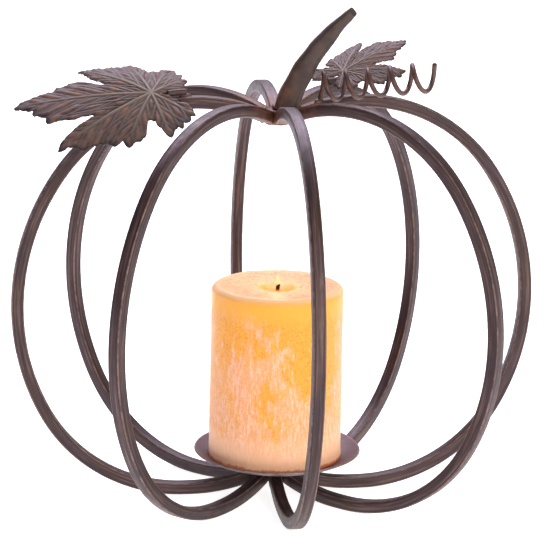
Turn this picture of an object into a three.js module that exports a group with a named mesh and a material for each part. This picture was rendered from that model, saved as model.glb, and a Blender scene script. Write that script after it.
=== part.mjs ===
// Welded pumpkin-shaped cage that holds one pillar candle.
// Eight square bars are bent to the same side outline and welded to a slug at the top and another at the
// bottom. A shallow dish on the lower slug carries the candle, and a forged stem, two pressed leaves and a
// wire tendril dress the top. Millimetres, +Z up, origin on the cage's axis at table level, -Y is the front.
import * as THREE from 'three';

// ---- driving dimensions ----------------------------------------------------------------------------
const BAR = 7;                    // side of the square bar
const RIBS = [                    // [place, degrees that it was welded away from its even eighth]
  ['front', -0.9], ['front_right', -1.1], ['right', -0.3], ['back_right', -0.1],
  ['back', 0], ['back_left', 1.7], ['left', 0], ['front_left', 1.1],
];
const FOOT_RADIUS = 50;           // where each rib stands on the table
const FOOT_FLAT = 4;              // straight length of bar at the foot
const SIDE_BENDS = [              // [bend radius, degrees], from the foot up and over to the upper slug
  [92, 61.5], [131, 28.5], [135.6, 36.2], [92.4, 53.8], [93, 24],
];
const FOOT_BEND = [100, 22.2];    // from the foot inward and up to the lower slug
const BEND_STEP = 5.5;            // degrees of bend in one facet

const WELD_GAP = 0.3;             // clearance left between pieces that are welded face to face
const SLUG_RADIUS = 7.6;
const SLUG_SKIRT = 1.6;           // how much wider the slug is where the bar ends lean away from it
const SLUG_DROP = 1.6;            // how far the upper slug hangs below the bars

const DISH_RADIUS = 48.8;
const DISH_FLOOR_RADIUS = 39.5;   // flat part under the candle
const DISH_RIM_RISE = 4.2;
const DISH_RIM_CURL = 0.3;        // 0 for a straight cone, 1 for a rim that only curls
const DISH_RIM_STEPS = 5;
const DISH_SHEET = 1.2;
const DISH_FLOOR_Z = 21.5;        // upper face of the flat part
const DISH_SHIFT = 2.6;           // the dish was welded on this far towards +X

const CANDLE_RADIUS = 38.1;       // a pillar of about 3 by 4 inches
const CANDLE_HEIGHT = 103.2;
const CANDLE_SHIFT = 1.2;
const CANDLE_FOOT_CHAMFER = 1.5;
const CANDLE_RIM = 3;             // chamfer of the upper rim
const CANDLE_TOP_DIPS = [[33.1, 0.8], [10, 2.2], [6, 3.6]];    // [radius, depth] of the melted top
const WICK_RADIUS = 1.2;
const WICK_STANDS = 4;            // wick above the melted top
const TAB_RADIUS = 16;            // tin disc that holds the wick's foot
const TAB_HEIGHT = 1;

const STEM_BASE = [4.4, 229.2];   // distance from the axis along the lean, height
const STEM_KNEE = [13.8, 258.4];  // where the lines of its two ends would meet
const STEM_TIP = [40.8, 283.6];
const STEM_HEADING = 80.1;        // compass direction in which the stem leans, degrees from -Y towards +X
const STEM_BASE_RADIUS = 7.5;
const STEM_TIP_RADIUS = 3.1;

const LEAF_SHEET = 1.2;
const STALK_RADIUS = 1.8;
const LEAF_HALVES = [             // half an outline each: [distance from vein centre, degrees from the tip]
  [
    [78, 0], [70, 4], [66, 9], [60, 13], [59, 17], [48, 20], [42, 22.5], [35, 28], [49, 30], [56, 32], [62, 36],
    [55, 40], [52, 46], [44, 52], [40, 61], [36, 66], [38, 73], [33, 81], [31, 85], [22, 82], [20, 90],
    [21, 99], [29, 106], [34, 111], [31, 120], [31, 136], [30, 146], [24, 155], [15, 160], [3, 180],
  ],
  [
    [78, 0], [68, 6], [57, 9], [55, 14], [50, 18], [50, 21], [40, 20.5], [30, 23], [44, 32], [49, 35], [57, 40],
    [53, 49], [44, 58], [41, 67], [36, 73], [24, 83], [24, 98], [27, 107], [27, 116], [25, 128], [24, 141],
    [18, 154], [10, 160], [3, 180],
  ],
];
const LEAF_RINGS = [0.34, 0.67, 1];
const LEAVES = [
  {                               // compass and climb point the tip, tilt turns the leaf about its main vein
    name: 'leaf_left', centre: [-72.8, 0, 237.5], compass: 260.2, climb: -1.1, tilt: 27.7, scale: 1,
    crossBend: 0.0116, longBend: 0.0037, stalk: [[-53, 0, 237.9], [-58, 0, 237.7], [-62.5, 0, 237.2]],
  },
  {
    name: 'leaf_right', centre: [44.9, 40.4, 242.3], compass: 114.6, climb: 24.5, tilt: -12, scale: 0.62,
    crossBend: 0.0139, longBend: 0.0047, stalk: [[34, 34, 237.7], [39.4, 36.9, 237.5], [42.7, 39.2, 237.9]],
  },
];

const WIRE_RADIUS = 1.4;
const COIL_RADIUS = 7.6;          // to the middle of the wire
const COIL_PITCH = 12.9;
const COIL_AXIS_START = [19, -5.9, 240.4];
const COIL_HEADING = 64.5;
const COIL_CLIMB = 8.5;           // degrees above level
const COIL_START = 55;            // degrees past its lowest point where the wire leaves the bar
const COIL_TURNS = 5.25;

// Facets round each turned piece, and [sides, steps] of each rod.
const SLUG_SEGMENTS = 24;
const DISH_SEGMENTS = 48;
const WAX_SEGMENTS = 64;
const WICK_SEGMENTS = 12;
const TAB_SEGMENTS = 32;
const STEM_FACETS = [12, 14];
const STALK_FACETS = [8, 8];
const COIL_FACETS = [8, 66];

// ---- finishes --------------------------------------------------------------------------------------
const bronzePaint = new THREE.MeshStandardMaterial({ color: 0x4e4242, roughness: 0.6, metalness: 0.5 });
const rubbedPaint = new THREE.MeshStandardMaterial({ color: 0x5c4a40, roughness: 0.62, metalness: 0.5 });
const amberWax = new THREE.MeshStandardMaterial({ color: 0xf7bd6e, roughness: 0.5, metalness: 0 });
const cottonWick = new THREE.MeshStandardMaterial({ color: 0x2b211c, roughness: 0.95, metalness: 0 });
const tinPlate = new THREE.MeshStandardMaterial({ color: 0xb9b7b0, roughness: 0.35, metalness: 0.9 });

// ---- helpers ---------------------------------------------------------------------------------------
const rad = THREE.MathUtils.degToRad;

// Unit vector that points along a compass direction (degrees from -Y towards +X) and climbs by an angle.
function heading(compass, climb = 0) {
  const level = Math.cos(rad(climb));
  const [east, north] = [Math.sin(rad(compass)), -Math.cos(rad(compass))];
  return new THREE.Vector3(east * level, north * level, Math.sin(rad(climb)));
}

// Follows a bar through its bends and returns the centre-line points with the heading at each.
function bendBar(start, startAngle, bends, turn) {
  const stations = [{ at: start.clone(), angle: startAngle }];
  for (const [radius, degrees] of bends) {
    const steps = Math.ceil(degrees / BEND_STEP);
    for (let i = 0; i < steps; i += 1) {
      const { at, angle } = stations[stations.length - 1];
      const next = angle + turn * rad(degrees / steps);
      const dx = turn * radius * (Math.sin(next) - Math.sin(angle));
      const dy = turn * radius * (Math.cos(angle) - Math.cos(next));
      stations.push({ at: new THREE.Vector2(at.x + dx, at.y + dy), angle: next });
    }
  }
  return stations;
}

// Point at a signed distance to the left of a bar station.
function beside({ at, angle }, distance) {
  return new THREE.Vector2(at.x - Math.sin(angle) * distance, at.y + Math.cos(angle) * distance);
}

// Lofts rings of equal size into one closed body, with a flat cap at each end.
function loft(rings) {
  const sides = rings[0].length;
  const positions = rings.flat().flatMap((p) => [p.x, p.y, p.z]);
  const centres = [rings[0], rings[rings.length - 1]].map((ring) => (
    ring.reduce((sum, p) => sum.add(p), new THREE.Vector3()).divideScalar(sides)));
  for (const c of centres) positions.push(c.x, c.y, c.z);
  const firstCap = rings.length * sides;
  const index = [];
  for (let i = 0; i < sides; i += 1) {
    const j = (i + 1) % sides;
    for (let r = 0; r + 1 < rings.length; r += 1) {
      const a = r * sides;
      const b = a + sides;
      index.push(a + i, a + j, b + j, a + i, b + j, b + i);
    }
    const last = (rings.length - 1) * sides;
    index.push(firstCap, j, i, firstCap + 1, last + i, last + j);
  }
  const geometry = new THREE.BufferGeometry();
  geometry.setAttribute('position', new THREE.Float32BufferAttribute(positions, 3));
  geometry.setIndex(index);
  return geometry;
}

// Rings of a rod along a curve whose radius may change on the way.
function rodRings(curve, radiusAt, sides, steps) {
  const frames = curve.computeFrenetFrames(steps, false);
  const rings = [];
  for (let s = 0; s <= steps; s += 1) {
    const centre = curve.getPointAt(s / steps);
    const ring = [];
    for (let i = 0; i < sides; i += 1) {
      const a = (i / sides) * Math.PI * 2;
      ring.push(centre.clone()
        .addScaledVector(frames.normals[s], Math.cos(a) * radiusAt(s / steps))
        .addScaledVector(frames.binormals[s], Math.sin(a) * radiusAt(s / steps)));
    }
    rings.push(ring);
  }
  return rings;
}

function turned(profile, segments) {
  const points = profile.map(([r, z]) => new THREE.Vector2(r, z));
  return new THREE.LatheGeometry(points, segments).rotateX(Math.PI / 2);
}

const holder = new THREE.Group();

function add(name, geometry, material, parent = holder) {
  const mesh = new THREE.Mesh(geometry, material);
  mesh.name = name;
  parent.add(mesh);
  return mesh;
}

// ---- ribs ------------------------------------------------------------------------------------------
// One side outline for all eight bars, drawn in the (distance from axis, height) plane.
function ribStations() {
  const foot = new THREE.Vector2(FOOT_RADIUS + FOOT_FLAT / 2, BAR / 2);
  const upward = bendBar(foot, 0, SIDE_BENDS, 1);
  const inner = new THREE.Vector2(-FOOT_RADIUS + FOOT_FLAT / 2, BAR / 2);
  const inward = bendBar(inner, 0, [FOOT_BEND], 1)
    .map(({ at, angle }) => ({ at: new THREE.Vector2(-at.x, at.y), angle: -angle }));
  return [...inward.reverse(), ...upward];
}

const ribLine = ribStations();

function ribGeometry() {
  const outline = [
    ...ribLine.map((station) => beside(station, -BAR / 2)),
    ...ribLine.map((station) => beside(station, BAR / 2)).reverse(),
  ];
  const bar = new THREE.ExtrudeGeometry(new THREE.Shape(outline), { depth: BAR, bevelEnabled: false });
  return bar.translate(0, 0, -BAR / 2).rotateX(Math.PI / 2);
}

RIBS.forEach(([place, off], i) => {
  const rib = add(`rib_${place}`, ribGeometry(), bronzePaint);
  rib.rotation.z = rad(i * 360 / RIBS.length + off - 90);
});

// ---- slugs that the bar ends are welded to ---------------------------------------------------------
const upperEnd = ribLine[ribLine.length - 1].at.y;
const lowerEnd = ribLine[0].at.y;
const slugHalf = BAR / 2;

add('top_slug', turned([
  [0, upperEnd - slugHalf - SLUG_DROP],
  [SLUG_RADIUS - SLUG_SKIRT, upperEnd - slugHalf - SLUG_DROP],
  [SLUG_RADIUS + SLUG_SKIRT, upperEnd - slugHalf],
  [SLUG_RADIUS, upperEnd + slugHalf],
  [0, upperEnd + slugHalf],
], SLUG_SEGMENTS), bronzePaint);

const dishUnder = DISH_FLOOR_Z - DISH_SHEET;
add('bottom_slug', turned([
  [0, lowerEnd - slugHalf],
  [SLUG_RADIUS, lowerEnd - slugHalf],
  [SLUG_RADIUS + SLUG_SKIRT, lowerEnd + slugHalf],
  [SLUG_RADIUS, dishUnder - WELD_GAP],
  [0, dishUnder - WELD_GAP],
], SLUG_SEGMENTS), bronzePaint);

// ---- candle dish -----------------------------------------------------------------------------------
function dishProfile() {
  const upper = [];
  const lower = [];
  for (let i = 0; i <= DISH_RIM_STEPS; i += 1) {
    const t = i / DISH_RIM_STEPS;
    const r = THREE.MathUtils.lerp(DISH_FLOOR_RADIUS, DISH_RADIUS, t);
    const z = DISH_FLOOR_Z + DISH_RIM_RISE * THREE.MathUtils.lerp(t, t * t, DISH_RIM_CURL);
    upper.push([r, z]);
    lower.push([r, z - DISH_SHEET]);
  }
  return [[0, dishUnder], ...lower, ...upper.reverse(), [0, DISH_FLOOR_Z]];
}

add('candle_dish', turned(dishProfile(), DISH_SEGMENTS), bronzePaint).position.x = DISH_SHIFT;

// ---- candle ----------------------------------------------------------------------------------------
const candle = new THREE.Group();
candle.position.set(CANDLE_SHIFT, 0, DISH_FLOOR_Z + WELD_GAP);
holder.add(candle);

const wickHole = WICK_RADIUS + WELD_GAP;
const recessRadius = TAB_RADIUS + WELD_GAP;
const recessTop = TAB_HEIGHT + WELD_GAP;
const poolFloor = CANDLE_HEIGHT - CANDLE_TOP_DIPS[CANDLE_TOP_DIPS.length - 1][1];
const wickTop = poolFloor + WICK_STANDS;

add('candle_wax', turned([
  [wickHole, recessTop],
  [recessRadius, recessTop],
  [recessRadius, 0],
  [CANDLE_RADIUS - CANDLE_FOOT_CHAMFER, 0],
  [CANDLE_RADIUS, CANDLE_FOOT_CHAMFER],
  [CANDLE_RADIUS, CANDLE_HEIGHT - CANDLE_RIM],
  [CANDLE_RADIUS - CANDLE_RIM, CANDLE_HEIGHT],
  ...CANDLE_TOP_DIPS.map(([radius, depth]) => [radius, CANDLE_HEIGHT - depth]),
  [wickHole, poolFloor],
  [wickHole, recessTop],
], WAX_SEGMENTS), amberWax, candle);

add('wick', turned([[0, recessTop], [WICK_RADIUS, recessTop], [WICK_RADIUS, wickTop], [0, wickTop]],
  WICK_SEGMENTS), cottonWick, candle);

add('wick_tab', turned([[0, 0], [TAB_RADIUS, 0], [TAB_RADIUS, TAB_HEIGHT], [0, TAB_HEIGHT]],
  TAB_SEGMENTS), tinPlate, candle);

// ---- stem ------------------------------------------------------------------------------------------
const stemLean = heading(STEM_HEADING);

function besideAxis([distance, height]) {
  return stemLean.clone().multiplyScalar(distance).setZ(height);
}

function stemGeometry() {
  const base = besideAxis(STEM_BASE);
  const tip = besideAxis(STEM_TIP);
  const knee = besideAxis(STEM_KNEE);
  const curve = new THREE.QuadraticBezierCurve3(base, knee, tip);
  const radiusAt = (t) => THREE.MathUtils.lerp(STEM_BASE_RADIUS, STEM_TIP_RADIUS, t ** 2);
  const rings = rodRings(curve, radiusAt, ...STEM_FACETS);
  const lean = curve.getTangentAt(0);
  for (const point of rings[0]) {
    point.addScaledVector(lean, (base.z - point.z) / lean.z);    // cut level to sit on the bars
  }
  return loft(rings);
}

add('stem', stemGeometry(), rubbedPaint);

// ---- leaves ----------------------------------------------------------------------------------------
// Axes of a leaf: along its main vein, across towards the front, and out of its upper face.
function leafAxes({ compass, climb, tilt }) {
  const along = heading(compass, climb);
  const level = new THREE.Vector3(Math.cos(rad(compass)), Math.sin(rad(compass)), 0);
  const up = new THREE.Vector3().crossVectors(along, level);
  const across = level.clone().multiplyScalar(Math.cos(rad(tilt))).addScaledVector(up, -Math.sin(rad(tilt)));
  const out = up.clone().multiplyScalar(Math.cos(rad(tilt))).addScaledVector(level, Math.sin(rad(tilt)));
  return { along, across, out };
}

// Rings of outline points shrunk towards the vein centre, on the upper or the lower face.
function leafFace(leaf, outline, lift) {
  const { along, across, out } = leafAxes(leaf);
  const points = [];
  for (const part of [0, ...LEAF_RINGS]) {
    for (const [r, a] of part ? outline : [[0, 0]]) {
      const u = r * part * leaf.scale * Math.cos(rad(a));
      const v = r * part * leaf.scale * Math.sin(rad(a));
      const sag = (leaf.crossBend * v * v + leaf.longBend * u * u) / 2;
      points.push(new THREE.Vector3(...leaf.centre)
        .addScaledVector(along, u)
        .addScaledVector(across, v)
        .addScaledVector(out, lift - sag));
    }
  }
  return points;
}

function leafGeometry(leaf) {
  const [half, otherHalf] = LEAF_HALVES;
  const outline = [...half, ...otherHalf.slice(1, -1).map(([r, a]) => [r, -a]).reverse()];
  const n = outline.length;
  const upper = leafFace(leaf, outline, LEAF_SHEET / 2);
  const lower = leafFace(leaf, outline, -LEAF_SHEET / 2);
  const under = upper.length;
  const rim = 1 + (LEAF_RINGS.length - 1) * n;
  const index = [];
  for (let i = 0; i < n; i += 1) {
    const j = (i + 1) % n;
    const faces = [[0, 1 + i, 1 + j]];
    for (let a = 1; a < rim; a += n) {
      faces.push([a + i, a + n + i, a + n + j], [a + i, a + n + j, a + j]);
    }
    for (const [p, q, r] of faces) {
      index.push(p, q, r, under + r, under + q, under + p);
    }
    index.push(rim + i, under + rim + i, under + rim + j, rim + i, under + rim + j, rim + j);
  }
  const geometry = new THREE.BufferGeometry();
  geometry.setFromPoints([...upper, ...lower]);
  geometry.setIndex(index);
  return geometry;
}

for (const leaf of LEAVES) {
  add(leaf.name, leafGeometry(leaf), rubbedPaint);
  const line = new THREE.CatmullRomCurve3(leaf.stalk.map((point) => new THREE.Vector3(...point)));
  add(`${leaf.name}_stalk`, loft(rodRings(line, () => STALK_RADIUS, ...STALK_FACETS)), rubbedPaint);
}

// ---- tendril ---------------------------------------------------------------------------------------
class Coil extends THREE.Curve {
  constructor() {
    super();
    this.start = new THREE.Vector3(...COIL_AXIS_START);
    this.along = heading(COIL_HEADING, COIL_CLIMB);
    this.across = new THREE.Vector3(0, 0, 1).cross(this.along).normalize();
    this.up = new THREE.Vector3().crossVectors(this.along, this.across);
  }

  getPoint(t, target = new THREE.Vector3()) {
    const turns = COIL_START / 360 + t * COIL_TURNS;
    const angle = turns * 2 * Math.PI;
    return target.copy(this.start)
      .addScaledVector(this.along, turns * COIL_PITCH)
      .addScaledVector(this.up, -Math.cos(angle) * COIL_RADIUS)
      .addScaledVector(this.across, Math.sin(angle) * COIL_RADIUS);
  }
}

add('tendril', loft(rodRings(new Coil(), () => WIRE_RADIUS, ...COIL_FACETS)), rubbedPaint);

export default holder;
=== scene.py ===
# %% [markdown]
# # A pumpkin-shaped cage for a pillar candle
# The real object is welded from square steel bar, a pressed dish, two pressed leaves, a wire tendril and a
# forged stem, and all of it is painted a dark bronze. A loose pillar candle stands in the dish. The CAD
# model says where everything is. This lesson loads it as a fixed frame, and then models each piece again
# with the detail that the CAD leaves out: rounded bar corners, veins, weld beads, wax and paint.

import math

import bmesh
import bpy
import numpy as np
from mathutils import Matrix, Vector


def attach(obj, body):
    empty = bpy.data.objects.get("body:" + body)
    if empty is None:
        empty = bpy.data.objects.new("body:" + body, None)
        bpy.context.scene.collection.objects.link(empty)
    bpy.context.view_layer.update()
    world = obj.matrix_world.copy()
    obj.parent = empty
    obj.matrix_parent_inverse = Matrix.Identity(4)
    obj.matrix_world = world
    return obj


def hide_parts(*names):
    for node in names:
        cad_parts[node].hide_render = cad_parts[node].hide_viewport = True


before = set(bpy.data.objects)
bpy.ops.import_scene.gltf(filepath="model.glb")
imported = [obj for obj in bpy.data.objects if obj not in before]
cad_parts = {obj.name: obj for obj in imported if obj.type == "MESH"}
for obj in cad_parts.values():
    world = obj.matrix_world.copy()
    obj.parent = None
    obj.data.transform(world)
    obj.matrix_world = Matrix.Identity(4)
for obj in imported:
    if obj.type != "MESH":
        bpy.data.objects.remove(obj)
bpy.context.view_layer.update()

# %% [markdown]
# ## Tools for edit mode
# Every piece starts from a primitive that an operator adds, and is then shaped in edit mode. An operator
# acts on all that is selected, so a piece begins with nothing selected, and faces and edges are picked in
# code by where they are. The same few steps come back for each piece, so they are small functions.

# %% Begin a piece, pick parts of it, and finish it
MM = 0.001


def begin(name, primitive, at=(0, 0, 0), **settings):
    """Adds a primitive at a place given in millimetres, moves the place into its mesh and opens edit mode."""
    bpy.ops.object.select_all(action="DESELECT")
    primitive(location=[x * MM for x in at], **settings)
    bpy.ops.object.transform_apply(location=True, rotation=True, scale=True)
    piece = bpy.context.object
    piece.name = name
    bpy.ops.object.mode_set(mode="EDIT")
    bpy.ops.mesh.select_all(action="SELECT")
    return piece


def pick(kind, test):
    """Selects the faces, edges or vertices whose centre (in millimetres) and normal pass a test."""
    bpy.ops.mesh.select_mode(type=kind)
    bpy.ops.mesh.select_all(action="DESELECT")
    mesh = bmesh.from_edit_mesh(bpy.context.object.data)
    found = 0
    for item in {"VERT": mesh.verts, "EDGE": mesh.edges, "FACE": mesh.faces}[kind]:
        if kind == "VERT":
            centre, normal = item.co, item.normal
        elif kind == "EDGE":
            a, b = item.verts
            centre, normal = (a.co + b.co) / 2, (b.co - a.co).normalized()
        else:
            centre, normal = item.calc_center_median(), item.normal
        if test(centre / MM, normal):
            item.select_set(True)
            found += 1
    mesh.select_flush_mode()
    bmesh.update_edit_mesh(bpy.context.object.data)
    return found


def modify(piece, kind, **settings):
    """Adds a modifier with its settings and applies it."""
    bpy.context.view_layer.objects.active = piece
    modifier = piece.modifiers.new(kind.title(), kind)
    for setting, value in settings.items():
        setattr(modifier, setting, value)
    bpy.ops.object.modifier_apply(modifier=modifier.name)


def close(piece, smooth_degrees=35, recalculate=True):
    """Leaves edit mode with the faces pointing outwards and the surface shaded smooth up to an angle."""
    if bpy.context.object.mode == "EDIT":
        bpy.ops.mesh.select_all(action="SELECT")
        if recalculate:
            bpy.ops.mesh.normals_make_consistent(inside=False)
        bpy.ops.object.mode_set(mode="OBJECT")
    bpy.ops.object.select_all(action="DESELECT")
    piece.select_set(True)
    bpy.context.view_layer.objects.active = piece
    bpy.ops.object.transform_apply(location=True, rotation=True, scale=True)
    bpy.ops.object.shade_smooth_by_angle(angle=math.radians(smooth_degrees))
    return piece


def resize(size, middle):
    """Resizes what is selected about a point given in millimetres."""
    bpy.ops.transform.resize(value=size, center_override=[x * MM for x in middle])


def step_to(radius, next_radius, rise, middle, extrude=bpy.ops.mesh.extrude_region_move):
    """Extrudes the selected face or rim by a rise, and resizes it about a point on its axis. All in mm."""
    extrude(TRANSFORM_OT_translate={"value": (0, 0, rise * MM)})
    grow = next_radius / radius
    resize((grow, grow, 1), middle)


def put(piece, places):
    """Moves a piece's vertices to places given in millimetres."""
    piece.data.vertices.foreach_set("co", (places * MM).ravel())
    piece.data.update()


def copy_of(piece, name, matrix):
    """Copies a piece with its own mesh, and puts the copy's place into that mesh."""
    twin = piece.copy()
    twin.data = piece.data.copy()
    twin.name = name
    twin.data.transform(matrix)
    bpy.context.scene.collection.objects.link(twin)
    return twin


def join(name, pieces):
    """Joins several pieces into one object."""
    bpy.ops.object.select_all(action="DESELECT")
    for piece in pieces:
        piece.select_set(True)
    bpy.context.view_layer.objects.active = pieces[0]
    bpy.ops.object.join()
    pieces[0].name = name
    return pieces[0]


def compass(degrees, climb=0.0):
    """Unit vector along a direction in degrees from the front (-Y) towards +X, climbing by an angle."""
    turn, rise = math.radians(degrees), math.radians(climb)
    return Vector((math.sin(turn) * math.cos(rise), -math.cos(turn) * math.cos(rise), math.sin(rise)))


def smoothstep(low, high, x):
    t = np.clip((np.asarray(x, float) - low) / (high - low), 0, 1)
    return t * t * (3 - 2 * t)


def store(piece, name, values):
    """Keeps one number for each vertex, which a material can read by name."""
    layer = piece.data.attributes.new(name, "FLOAT", "POINT")
    layer.data.foreach_set("value", np.asarray(values, np.float32))


def wear_evenly(piece, share):
    """Rubs the paint by the same share everywhere on a small piece."""
    store(piece, "worn_edge", np.full(len(piece.data.vertices), share))


def corners_and_normals(piece):
    """Vertex places in millimetres and vertex normals, as arrays."""
    count = len(piece.data.vertices)
    places, normals = np.zeros(count * 3), np.zeros(count * 3)
    piece.data.vertices.foreach_get("co", places)
    piece.data.vertex_normals.foreach_get("vector", normals)
    return places.reshape(-1, 3) / MM, normals.reshape(-1, 3)


# %% [markdown]
# ## Tools for materials
# Colours are chosen as sRGB hex values, the way a picture editor shows them, and a shader wants linear
# light, so one function turns one into the other. One more function adds a node with its settings and its
# links, and returns the output that the next node reads. Sockets go by name, or by number where the nodes
# are many: a mix has its factor at 0 and its colours at 1 and 2, and a map range has its value at 0, the
# range that it comes from at 1 and 2, and the range that it goes to at 3 and 4.

# %% Colours and nodes
def linear(colour):
    """Linear RGBA of an sRGB hex colour."""
    parts = [int(colour[i : i + 2], 16) / 255 for i in (1, 3, 5)]
    return (*[p / 12.92 if p <= 0.04045 else ((p + 0.055) / 1.055) ** 2.4 for p in parts], 1.0)


def fill(tree, made, inputs):
    """Fills a node's inputs with values, hex colours or other nodes' outputs."""
    for socket, value in inputs.items():
        if isinstance(value, bpy.types.NodeSocket):
            tree.links.new(value, made.inputs[socket])
        else:
            made.inputs[socket].default_value = linear(value) if isinstance(value, str) else value


def node(tree, kind, inputs=None, stops=None, output=0, **settings):
    """Adds a node and returns one of its outputs. Stops fill a colour ramp."""
    made = tree.nodes.new("ShaderNode" + kind)
    for setting, value in settings.items():
        setattr(made, setting, value)
    fill(tree, made, inputs or {})
    if stops:
        ramp = made.color_ramp.elements
        while len(ramp) < len(stops):
            ramp.new(0.5)
        for element, (place, value) in zip(ramp, stops):
            element.position = place
            element.color = linear(value) if isinstance(value, str) else (value, value, value, 1)
    return made.outputs[output]


def finish_called(name, comment):
    """A material with its node tree, its principled shader, and the place of each point as an output."""
    material = bpy.data.materials.new(name)
    material.use_nodes = True
    tree = material.node_tree
    print("finish:", name, "-", comment)
    return material, tree, tree.nodes["Principled BSDF"], node(tree, "TexCoord", output="Object")


def per_mm(size):
    """Texture scale that gives a pattern of about this size in millimetres."""
    return 1 / (size * MM)


def stretched_noise(tree, place, scale, detail=3.0, roughness=0.5):
    """Noise that is longer along one axis than along another, as streaks are."""
    stretched = node(tree, "Mapping", {"Vector": place, "Scale": scale})
    return node(tree, "TexNoise", {"Vector": stretched, "Scale": 1, "Detail": detail, "Roughness": roughness})


# %% [markdown]
# ## Bronze powder paint
# Powder paint is sprayed dry and melted on in an oven. Here it is a dark bronze with a little purple in it,
# and after painting the maker rubbed a copper-brown glaze over it, which stays around the upper welds. It
# is satin: an upward face catches a broad pale sheen, but nothing mirrors in it. The patches come from a
# coarse noise, the grain and the forge's dents from two bump noises, and the worn corners from a number that
# each piece stores at its vertices. A bar was rolled before it was painted, and its streaks follow it round
# its bends, because each vertex stores its place along the bar. A broken dark line beside each corner of a
# bar is painted shade, for the shade that a bar's narrow faces show, and it follows the bends too.

# %% Bronze paint
BAR = 7.0  # side of the square bar, mm
BAR_PLACE = ("run", "across", "above")  # where a vertex is along the bar and in its section, mm
STREAK_LENGTH, STREAK_WIDTH = 34.0, 1.5  # mm
# the last colour is painted shade: a dark line beside each corner of a bar, as its narrow faces look in shade
DARK_STREAK, PALE_STREAK, SHADE_BESIDE_CORNERS = "#291d21", "#70594f", "#2a1f24"
WELD_HEAT_BOTTOM, WELD_HEAT_TOP = 0.2, 0.215  # the rusty brown shows only above these heights, m


def bar_lines(tree, ground):
    """Draws dark and pale streaks along the rolled bar, and a broken dark line of painted shade beside its
    corners.
    """
    run, across, above = (node(tree, "Attribute", output="Fac", attribute_name=way) for way in BAR_PLACE)
    rolled = node(tree, "CombineXYZ", {"X": run, "Y": across, "Z": above})
    streaks = stretched_noise(tree, rolled, (1 / STREAK_LENGTH, 1 / STREAK_WIDTH, 1 / STREAK_WIDTH), 3.0, 0.6)
    dark = node(tree, "ValToRGB", {"Fac": streaks}, [(0.36, 0.85), (0.52, 0.0)])
    pale = node(tree, "ValToRGB", {"Fac": streaks}, [(0.52, 0.0), (0.7, 0.75)])
    tone = node(tree, "MixRGB", {0: dark, 1: ground, 2: DARK_STREAK})
    tone = node(tree, "MixRGB", {0: pale, 1: tone, 2: PALE_STREAK})
    # painted shade: a broken dark line beside each corner of the bar
    sides = [node(tree, "Math", {0: way}, operation="ABSOLUTE") for way in (across, above)]
    inner = node(tree, "Math", {0: sides[0], 1: sides[1]}, operation="MINIMUM")
    share = node(tree, "Math", {0: inner, 1: 2 / BAR}, operation="MULTIPLY")
    line = node(tree, "ValToRGB", {"Fac": share}, [(0.45, 0.0), (0.66, 0.75), (0.78, 0.0)])
    broken = node(tree, "Math", {0: line, 1: streaks}, operation="MULTIPLY")
    broken = node(tree, "Math", {0: broken, 1: 1.9}, operation="MULTIPLY", use_clamp=True)
    return node(tree, "MixRGB", {0: broken, 1: tone, 2: SHADE_BESIDE_CORNERS})


def bronze_paint(name, colours, patch_mm, dent_mm, wear, rust_reach=(14, 34), lined=False):
    """Satin powder paint in four colours: base, shade, worn corner, and rusty brown near the upper welds."""
    base, shade, worn, rust = colours
    material, tree, shader, place = finish_called(name, "satin powder paint: soft highlights")
    patches = {"Vector": place, "Scale": per_mm(patch_mm), "Detail": 4.0, "Roughness": 0.6}
    blend = node(tree, "ValToRGB", {"Fac": node(tree, "TexNoise", patches)}, [(0.38, 0.0), (0.62, 1.0)])
    colour = node(tree, "MixRGB", {0: blend, 1: base, 2: shade})
    if lined:
        colour = bar_lines(tree, colour)
    corner = node(tree, "Attribute", output="Fac", attribute_name="worn_edge")
    rubbed = node(tree, "TexNoise", {"Vector": place, "Scale": per_mm(5.0), "Detail": 5.0, "Roughness": 0.65})
    rubbing = node(tree, "ValToRGB", {"Fac": rubbed}, [(0.4, 0.15), (0.68, 1.0)])
    amount = node(tree, "Math", {0: corner, 1: rubbing}, operation="MULTIPLY")
    amount = node(tree, "Math", {0: amount, 1: wear}, operation="MULTIPLY")
    colour = node(tree, "MixRGB", {0: amount, 1: colour, 2: worn})
    flat = node(tree, "VectorMath", {0: place, 1: (1, 1, 0)}, operation="MULTIPLY")
    reach = node(tree, "VectorMath", {0: flat}, output="Value", operation="LENGTH")
    near = node(tree, "MapRange", {0: reach, 1: rust_reach[1] * MM, 2: rust_reach[0] * MM, 3: 0.0, 4: 0.8})
    height = node(tree, "SeparateXYZ", {"Vector": place}, output="Z")
    high = node(tree, "MapRange", {0: height, 1: WELD_HEAT_BOTTOM, 2: WELD_HEAT_TOP})
    heat = node(tree, "Math", {0: near, 1: high}, operation="MULTIPLY")
    heat = node(tree, "Math", {0: heat, 1: rubbing}, operation="MULTIPLY")
    colour = node(tree, "MixRGB", {0: heat, 1: colour, 2: rust})
    sheen = node(tree, "MapRange", {0: rubbed, 1: 0.3, 2: 0.7, 3: 0.38, 4: 0.56})
    dents = node(tree, "TexNoise", {"Vector": place, "Scale": per_mm(dent_mm), "Detail": 2.0})
    dented = node(tree, "Bump", {"Height": dents, "Strength": 0.35, "Distance": 0.6 * MM})
    grain = node(tree, "TexNoise", {"Vector": place, "Scale": per_mm(0.9), "Detail": 2.0})
    bump = {"Height": grain, "Strength": 0.25, "Distance": 0.12 * MM, "Normal": dented}
    fill(tree, shader, {"Base Color": colour, "Roughness": sheen, "Normal": node(tree, "Bump", bump)})
    fill(tree, shader, {"Metallic": 0.35, "IOR": 1.5})
    return material


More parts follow.
